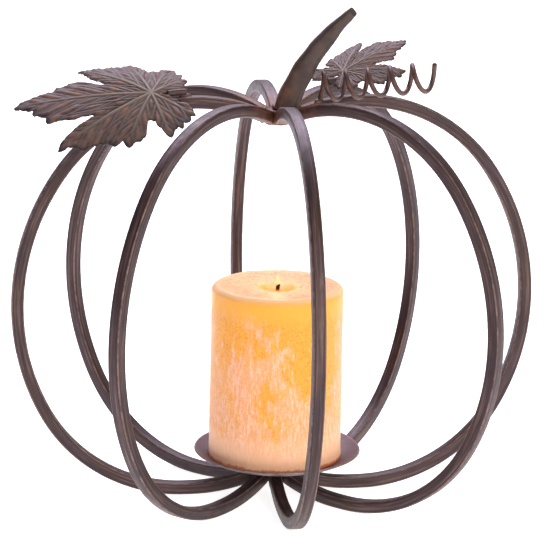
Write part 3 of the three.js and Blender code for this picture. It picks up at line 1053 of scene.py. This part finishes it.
stem_foot = compass(STEM_LEAN) * STEM_BASE[0] + Vector((0, 0, STEM_BASE[1] - 0.6))
wire_foot = (wire_start.x - 0.9, wire_start.y - 0.7, BAR_TOP_NEAR_WIRE)
ornament_beads = ring_of_beads(stem_foot, radius=6.8, count=9, length=2.9, thickness=1.7)
ornament_beads.append(bead_at((-53.5, 0, 235.4), (1, 0, 0), 3.6, 1.9))
ornament_beads.append(bead_at((33.2, 33.2, 235.6), (1, 1, 0), 3.4, 1.9))
ornament_beads.append(bead_at(wire_foot, (1, 0.2, 0), 3.2, 1.7))
welded("weld_beads_at_the_ornaments", ornament_beads, wire_paint)
bpy.data.objects.remove(bead)

# %% [markdown]
# ## The candle
# The candle is a poured pillar of amber wax, about three inches across and four high. Poured wax cools with
# a soft rim and a shallow pool round the wick. A cylinder is subdivided along its side, its edges are
# bevelled, and its top is extruded inwards and down in steps. A weak displacement then takes away the
# perfect roundness. The foot has a recess for the wick's tab.

# %% Pour the candle
CANDLE_AT = (1.2, 0.0)
CANDLE_FOOT = 21.8
CANDLE_RADIUS = 38.1
CANDLE_HEIGHT = 103.2
CANDLE_TOP = CANDLE_FOOT + CANDLE_HEIGHT
CANDLE_RIM = 3.6
MELTED_TOP = [(0.0, -3.6), (5.0, -3.5), (9.0, -2.0), (11.0, -1.5), (22.0, -1.0), (30.0, -0.5), (34.5, 0.0)]
TOP_RINGS = 30
FOOT_BEVEL = 1.5
TAB_RADIUS = 16.0
FOOT_FLARE = 0.018  # the mould opens towards the foot, so that the candle comes out of it


def from_candle(c):
    return math.hypot(c.x - CANDLE_AT[0], c.y - CANDLE_AT[1])


def poured_candle():
    piece = begin(
        "poured_candle",
        bpy.ops.mesh.primitive_cylinder_add,
        (*CANDLE_AT, CANDLE_FOOT + CANDLE_HEIGHT / 2),
        radius=CANDLE_RADIUS * MM,
        depth=CANDLE_HEIGHT * MM,
        vertices=144,
    )
    pick("EDGE", lambda c, n: abs(n.z) > 0.9)
    bpy.ops.mesh.subdivide(number_cuts=40)
    pick("EDGE", lambda c, n: c.z < CANDLE_FOOT + 0.1)
    bpy.ops.mesh.bevel(offset=FOOT_BEVEL * MM, segments=3, affect="EDGES")
    pick("EDGE", lambda c, n: c.z > CANDLE_TOP - 0.1)
    bpy.ops.mesh.bevel(offset=CANDLE_RIM * MM, segments=7, affect="EDGES")
    print("top faces:", pick("FACE", lambda c, n: n.z > 0.99 and c.z > CANDLE_TOP - 0.1))
    radius, height = CANDLE_RADIUS - CANDLE_RIM, 0.0
    for next_radius in np.linspace(radius, 2.0, TOP_RINGS)[1:]:
        next_height = float(np.interp(next_radius, *np.transpose(MELTED_TOP)))
        step_to(radius, next_radius, next_height - height, (*CANDLE_AT, CANDLE_TOP))
        radius, height = next_radius, next_height
    bpy.ops.mesh.poke()
    pick("FACE", lambda c, n: n.z < -0.99 and c.z < CANDLE_FOOT + 0.1)
    foot_radius, recess_radius = CANDLE_RADIUS - FOOT_BEVEL, TAB_RADIUS + 0.3
    step_to(foot_radius, recess_radius, 0.0, (*CANDLE_AT, CANDLE_FOOT))
    step_to(recess_radius, recess_radius, 1.3, (*CANDLE_AT, CANDLE_FOOT))
    bpy.ops.mesh.poke()
    return close(piece, 60)


wax = poured_candle()
lumps = bpy.data.textures.new("lumps in the wax", "CLOUDS")
lumps.noise_scale = 24 * MM
modify(wax, "DISPLACE", texture=lumps, strength=0.9 * MM, mid_level=0.5, texture_coords="LOCAL")
pits = bpy.data.textures.new("pits in the wax", "CLOUDS")
pits.noise_scale = 4 * MM
modify(wax, "DISPLACE", texture=pits, strength=0.25 * MM, mid_level=0.5, texture_coords="LOCAL")
places, _ = corners_and_normals(wax)
widen = 1 + FOOT_FLARE * (CANDLE_TOP - places[:, 2]) / CANDLE_HEIGHT
places[:, 0] = CANDLE_AT[0] + (places[:, 0] - CANDLE_AT[0]) * widen
places[:, 1] *= widen
places[:, 2] = np.maximum(places[:, 2], CANDLE_FOOT)
put(wax, places)
print("candle faces:", len(wax.data.polygons))

# %% [markdown]
# ## Amber wax
# Wax is translucent: light goes in and comes out a few millimetres away, which softens its edges and warms
# its shadows. This one is a mottled wax. Fine crystals of it grew where it touched the mould and left pale
# peach frost in upright streaks over the amber, thinner near the top, where the wax was melted again and
# stayed clear. Dye has settled at the foot as a reddish stain. The rim is painted pale, a painted highlight;
# the side is painted paler towards the foot, painted light that lifts the shade the dish casts there; and the
# wax glows a little everywhere, a painted glow.

# %% Amber wax
CLEAR_PATCH = (0.016, -0.036, 0.092)  # where the wax stayed clear of frost, m
WAX_BANDS = [  # (height where the colour begins and where it is full in metres, its share, the colour)
    (0.107, 0.117, 0.85, "#f2ab34"),  # melted again and clear
    (0.1215, 0.124, 0.8, "#ffd3a0"),  # the rim, painted pale: a painted highlight
    (0.05, 0.024, 0.6, "#ffd6b2"),  # painted light: paler towards the foot, to lift the shade that the dish casts there
]
SMOOTH = {"interpolation_type": "SMOOTHSTEP"}


def mottled_wax(name):
    """Poured paraffin with frost: translucent, semi-gloss, amber under peach crystals."""
    material, tree, shader, place = finish_called(name, "translucent wax, so light comes back out softened")
    height = node(tree, "SeparateXYZ", {"Vector": place}, output="Z")
    centred = node(tree, "Mapping", {"Vector": place, "Location": (-CANDLE_AT[0] * MM, 0, 0)})
    flat = node(tree, "VectorMath", {0: centred, 1: (1, 1, 0)}, operation="MULTIPLY")
    reach = node(tree, "VectorMath", {0: flat}, output="Value", operation="LENGTH")

    def upright(width, tall, detail):
        """Noise in upright streaks of this width and height in millimetres."""
        return stretched_noise(tree, place, (per_mm(width), per_mm(width), per_mm(tall)), detail, 0.62)

    # frost: big clouds that thin out upwards and round the clear patch, broken up by fine streaks
    thinner = node(tree, "MapRange", {0: height, 1: 0.03, 2: 0.118, 3: -0.04, 4: 0.12}, **SMOOTH)
    clouds = node(tree, "Math", {0: upright(15, 22, 5.0), 1: thinner}, operation="SUBTRACT", use_clamp=True)
    away = node(tree, "VectorMath", {0: place, 1: CLEAR_PATCH}, output="Value", operation="DISTANCE")
    clear = node(tree, "MapRange", {0: away, 1: 0.034, 2: 0.008, 3: 0.0, 4: 0.16}, **SMOOTH)
    clouds = node(tree, "Math", {0: clouds, 1: clear}, operation="SUBTRACT", use_clamp=True)
    fine = node(tree, "Math", {0: upright(2.4, 9, 4.0), 1: 0.5}, operation="SUBTRACT", use_clamp=True)
    fine = node(tree, "Math", {0: fine, 1: 1.3}, operation="MULTIPLY", use_clamp=True)
    broken = node(tree, "Math", {0: clouds, 1: fine}, operation="ADD", use_clamp=True)
    frost = node(tree, "MapRange", {0: broken, 1: 0.36, 2: 0.56}, **SMOOTH)
    # the side: amber and peach, each with its own grain
    streaks = node(tree, "MapRange", {0: upright(1.1, 6, 3.0), 1: 0.42, 2: 0.62}, **SMOOTH)
    specks = node(tree, "MapRange", {0: upright(1.0, 1.2, 3.0), 1: 0.45, 2: 0.68}, **SMOOTH)
    faint = node(tree, "Math", {0: specks, 1: 0.6}, operation="MULTIPLY")
    amber = node(tree, "MixRGB", {0: specks, 1: "#f0a632", 2: "#da881c"})
    peach = node(tree, "MixRGB", {0: streaks, 1: "#eaa771", 2: "#f6c29f"})
    peach = node(tree, "MixRGB", {0: faint, 1: peach, 2: "#e0964f"})
    side = node(tree, "MixRGB", {0: frost, 1: amber, 2: peach})
    for begins, is_full, share, colour in WAX_BANDS:
        band = node(tree, "MapRange", {0: height, 1: begins, 2: is_full, 3: 0.0, 4: share}, **SMOOTH)
        side = node(tree, "MixRGB", {0: band, 1: side, 2: colour})
    stain = node(tree, "MapRange", {0: height, 1: 0.0285, 2: 0.0225}, **SMOOTH)
    stain = node(tree, "Math", {0: stain, 1: upright(3, 3, 4.0)}, operation="SUBTRACT", use_clamp=True)
    stain = node(tree, "MapRange", {0: stain, 1: 0.1, 2: 0.4, 3: 0.0, 4: 0.85}, **SMOOTH)
    side = node(tree, "MixRGB", {0: stain, 1: side, 2: "#d0662a"})
    # the top: pale swirls round a pool of clear wax, everywhere inside the rim
    swirl = node(tree, "MapRange", {0: upright(2.2, 2.2, 4.0), 1: 0.46, 2: 0.66}, **SMOOTH)
    top = node(tree, "MixRGB", {0: swirl, 1: "#fcc48c", 2: "#ee9f66"})
    pool = node(tree, "MapRange", {0: reach, 1: 0.0125, 2: 0.0085}, **SMOOTH)
    top = node(tree, "MixRGB", {0: pool, 1: top, 2: "#f59a2c"})
    high_up = node(tree, "MapRange", {0: height, 1: 0.115, 2: 0.117}, **SMOOTH)
    inside = node(tree, "MapRange", {0: reach, 1: 0.0345, 2: 0.031}, **SMOOTH)
    inside = node(tree, "Math", {0: inside, 1: high_up}, operation="MULTIPLY")
    colour = node(tree, "MixRGB", {0: inside, 1: side, 2: top})
    gloss = node(tree, "MapRange", {0: frost, 1: 0.0, 2: 1.0, 3: 0.34, 4: 0.55}, **SMOOTH)
    skin = node(tree, "TexNoise", {"Vector": place, "Scale": per_mm(1.6), "Detail": 4.0})
    bump = node(tree, "Bump", {"Height": skin, "Strength": 0.6, "Distance": 0.3 * MM})
    fill(tree, shader, {"Base Color": colour, "Roughness": gloss, "Normal": bump, "IOR": 1.44})
    # painted glow: the wax gives off a little light of its own everywhere, in place of light from the flame,
    # which also flattens its shading
    fill(tree, shader, {"Emission Color": colour, "Emission Strength": 0.13})
    fill(tree, shader, {"Subsurface Weight": 0.35, "Subsurface Scale": 5 * MM})
    fill(tree, shader, {"Subsurface Radius": (1.0, 0.45, 0.16)})
    return material


wax.data.materials.append(mottled_wax("mottled_amber_wax"))
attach(wax, "candle")
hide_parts("candle_wax")

# %% [markdown]
# ## Wick, tab and flame
# The wick is braided cotton. Only its charred end stands out of the wax, a little bent. It is a disc that
# is extruded upwards and turned a little at each step, so that its corners wind round it like a braid. At
# its foot a tin tab with a crimped neck holds it upright. The candle is lit, so a small flame stands on the
# wick.

# %% Braid the wick
POOL = CANDLE_TOP + MELTED_TOP[0][1]  # height of the melted pool round the wick


def charred_wick():
    sides, radius, step, twist, bow = 6, 1.1, 0.8, 0.35, 0.12
    foot = CANDLE_FOOT + 1.4
    piece = begin(
        "charred_wick",
        bpy.ops.mesh.primitive_circle_add,
        (*CANDLE_AT, foot),
        radius=radius * MM,
        vertices=sides * 3,
        fill_type="NGON",
    )
    height = foot
    buried, top = POOL - 2, POOL + 3.7
    levels = [buried, *np.arange(buried + step, top, step), top]
    for level in levels:
        rise, height = level - height, level
        lean = bow if height > POOL + 0.5 else 0.0
        bpy.ops.mesh.extrude_region_move(TRANSFORM_OT_translate={"value": (lean * MM, 0, rise * MM)})
        middle = (CANDLE_AT[0] * MM, CANDLE_AT[1] * MM, height * MM)
        bpy.ops.transform.rotate(value=twist, orient_axis="Z", center_override=middle)
    bpy.ops.mesh.inset(thickness=0.35 * MM, depth=0.25 * MM)
    pick("VERT", lambda c, n: round(c.z * 2.5) % 2 == 0 and c.z > POOL - 2)
    bpy.ops.transform.vertex_random(offset=0.12 * MM, seed=2)
    close(piece, 50)
    return piece


wick = charred_wick()


def cotton(name):
    """Braided cotton, charred at the top: matt, with a coarse thread bump."""
    material, tree, shader, place = finish_called(name, "matt charred cotton over waxed yellow cotton")
    height = node(tree, "SeparateXYZ", {"Vector": place}, output="Z")
    burnt = node(tree, "MapRange", {0: height, 1: (POOL + 0.2) * MM, 2: (POOL + 0.9) * MM})
    fibre = node(tree, "TexNoise", {"Vector": place, "Scale": per_mm(0.5), "Detail": 3.0})
    char = node(tree, "MixRGB", {0: fibre, 1: "#120d0a", 2: "#33241a"})
    colour = node(tree, "MixRGB", {0: burnt, 1: "#b4752f", 2: char})
    bump = node(tree, "Bump", {"Height": fibre, "Strength": 0.6, "Distance": 0.2 * MM})
    fill(tree, shader, {"Base Color": colour, "Roughness": 0.95, "Normal": bump})
    return material


wick.data.materials.append(cotton("charred_cotton"))
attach(wick, "candle")
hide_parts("wick")
print("wick faces:", len(wick.data.polygons))

# %% Crimp the tab
def wick_tab():
    piece = begin(
        "crimped_wick_tab",
        bpy.ops.mesh.primitive_cylinder_add,
        (*CANDLE_AT, CANDLE_FOOT + 0.25),
        radius=TAB_RADIUS * MM,
        depth=0.5 * MM,
        vertices=64,
    )
    pick("FACE", lambda c, n: n.z > 0.99)
    rings = [(TAB_RADIUS, 0.0), (14.8, 0.25), (13.6, -0.25), (2.3, 0.0), (2.0, 0.5)]
    for (radius, _), (next_radius, rise) in zip(rings, rings[1:]):
        step_to(radius, next_radius, rise, (*CANDLE_AT, CANDLE_FOOT))
    pick("EDGE", lambda c, n: abs(n.z) < 0.1 and from_candle(c) > TAB_RADIUS - 0.3)
    bpy.ops.mesh.bevel(offset=0.12 * MM, segments=2, affect="EDGES")
    return close(piece, 40)


def tin_plate(name):
    """Rolled tin plate: bright, with faint rolling lines."""
    material, tree, shader, place = finish_called(name, "bright rolled tin plate")
    lines = stretched_noise(tree, place, (per_mm(0.4), per_mm(12), 1.0))
    tone = node(tree, "MixRGB", {0: lines, 1: "#a9a7a0", 2: "#c9c7c0"})
    gloss = node(tree, "MapRange", {0: lines, 3: 0.25, 4: 0.45})
    fill(tree, shader, {"Base Color": tone, "Roughness": gloss, "Metallic": 1.0})
    return material


tab = wick_tab()
tab.data.materials.append(tin_plate("rolled_tin_plate"))
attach(tab, "candle")
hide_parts("wick_tab")
print("tab faces:", len(tab.data.polygons))

# %% Light the flame
def small_flame():
    foot, height, width = POOL + 2.6, 7.5, 1.5
    piece = begin(
        "small_flame",
        bpy.ops.mesh.primitive_uv_sphere_add,
        (*CANDLE_AT, foot + width),
        radius=width * MM,
        segments=32,
        ring_count=20,
    )
    for share in np.linspace(0.05, 0.95, 10):
        level = foot + width + share * width
        pick("VERT", lambda c, n, level=level: c.z > level - 0.01)
        resize((0.93, 0.93, 1.0), (*CANDLE_AT, level))
    pick("VERT", lambda c, n: c.z > foot + width)
    resize((1, 1, (height - width) / width), (*CANDLE_AT, foot + width))
    return close(piece, 80)


def flame_light(name):
    """Burning wax vapour: it gives light of its own, white-yellow inside and amber towards the edge."""
    material, tree, shader, place = finish_called(name, "a flame gives light and hardly reflects any")
    height = node(tree, "SeparateXYZ", {"Vector": place}, output="Z")
    rise = node(tree, "MapRange", {0: height, 1: (POOL + 2.6) * MM, 2: (POOL + 10) * MM})
    heat = [(0.0, "#f6c060"), (0.3, "#fff0a8"), (0.75, "#fff3b4"), (1.0, "#ffe08a")]
    glow = node(tree, "ValToRGB", {"Fac": rise}, heat)
    fill(tree, shader, {"Emission Color": glow, "Emission Strength": 1.0})
    fill(tree, shader, {"Base Color": (0, 0, 0, 1), "Roughness": 1.0})
    return material


flame = small_flame()
flame.data.materials.append(flame_light("candle_flame"))
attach(flame, "candle")
print("flame faces:", len(flame.data.polygons))

# %% [markdown]
# ## Floor, light and camera
# The holder stands on a plain pale floor, large enough that no edge of it shows. The light is that of a
# white studio tent with its left side closed: a world that is brighter towards the right, one large soft
# lamp above and behind, and a smaller warm one at the front right. The flame adds a very small warm light
# of its own. The camera stands well back with a long lens, a little above the candle, and looks down at 14
# degrees.

# %% Floor
floor = begin("floor", bpy.ops.mesh.primitive_plane_add, (0, 0, 0), size=60.0)
bpy.ops.mesh.subdivide(number_cuts=1)
close(floor)
floor_finish, floor_tree, floor_shader, _ = finish_called("lit_white_paper_sweep", "matt white paper")
fill(floor_tree, floor_shader, {"Base Color": "#f4f4f4", "Roughness": 0.9})
fill(floor_tree, floor_shader, {"Emission Color": "#ffffff", "Emission Strength": 0.85})
floor.data.materials.append(floor_finish)

# %% World and lamps
scene = bpy.context.scene
scene.view_settings.view_transform = "Standard"
scene.world = bpy.data.worlds.new("white tent")
scene.world.use_nodes = True
world = scene.world.node_tree
background = world.nodes["Background"]
direction = node(world, "TexCoord", output="Generated")
climb = node(world, "SeparateXYZ", {"Vector": direction}, output="Z")
tent = node(world, "ValToRGB", {"Fac": climb}, [(0.0, 0.95), (0.12, 0.8), (0.3, 0.3), (1.0, 0.3)])
rightward = node(world, "SeparateXYZ", {"Vector": direction}, output="X")
rightward = node(world, "Math", {0: rightward, 1: 0.5, 2: 0.5}, operation="MULTIPLY_ADD")
closed_left = node(world, "ValToRGB", {"Fac": rightward}, [(0.15, "#b4adc6"), (0.85, "#fffcf8")])
tent = node(world, "VectorMath", {0: tent, 1: closed_left}, operation="MULTIPLY")
fill(world, background, {"Color": tent, "Strength": 1.08})


def softbox(name, place, target, size, power, colour):
    """A square area lamp that looks from a place to a target, both in metres."""
    data = bpy.data.lights.new(name, "AREA")
    data.size, data.energy = size, power
    data.color = linear(colour)[:3]
    lamp = bpy.data.objects.new(name, data)
    lamp.location = place
    lamp.rotation_euler = (Vector(target) - Vector(place)).to_track_quat("-Z", "Y").to_euler()
    lamp.visible_camera = False
    scene.collection.objects.link(lamp)


softbox("overhead tent lamp", (0.1, 1.1, 1.7), (0, 0, 0.15), size=1.5, power=50, colour="#ece6ff")
softbox("front lamp", (0.9, -2.3, 1.0), (0, 0, 0.12), size=1.0, power=33, colour="#fff1e8")

candle_glow = bpy.data.objects.new("candle glow", bpy.data.lights.new("candle glow", "POINT"))
candle_glow.data.energy = 0.012
candle_glow.data.color = linear("#ffc890")[:3]
candle_glow.data.shadow_soft_size = 0.006
candle_glow.location = (CANDLE_AT[0] * MM, 0, (CANDLE_TOP + 12) * MM)
scene.collection.objects.link(candle_glow)

# %% Camera
LENS = 154.34
STAND = Vector((-0.2270, -1.3020, 0.4562))
LOOK = compass(180 - 9.87, -13.81)
ROLL = math.radians(1.05)

camera_data = bpy.data.cameras.new("camera")
camera_data.lens, camera_data.sensor_width = LENS, 36.0
camera_data.clip_start, camera_data.clip_end = 0.05, 50.0
camera = bpy.data.objects.new("camera", camera_data)
right = LOOK.cross(Vector((0, 0, 1))).normalized()
above = right.cross(LOOK)
image_right = right * math.cos(ROLL) + above * math.sin(ROLL)
image_up = above * math.cos(ROLL) - right * math.sin(ROLL)
camera.matrix_world = Matrix.Translation(STAND) @ Matrix((image_right, image_up, -LOOK)).transposed().to_4x4()
scene.collection.objects.link(camera)
scene.camera = camera
print("camera looks along", [round(x, 3) for x in LOOK])
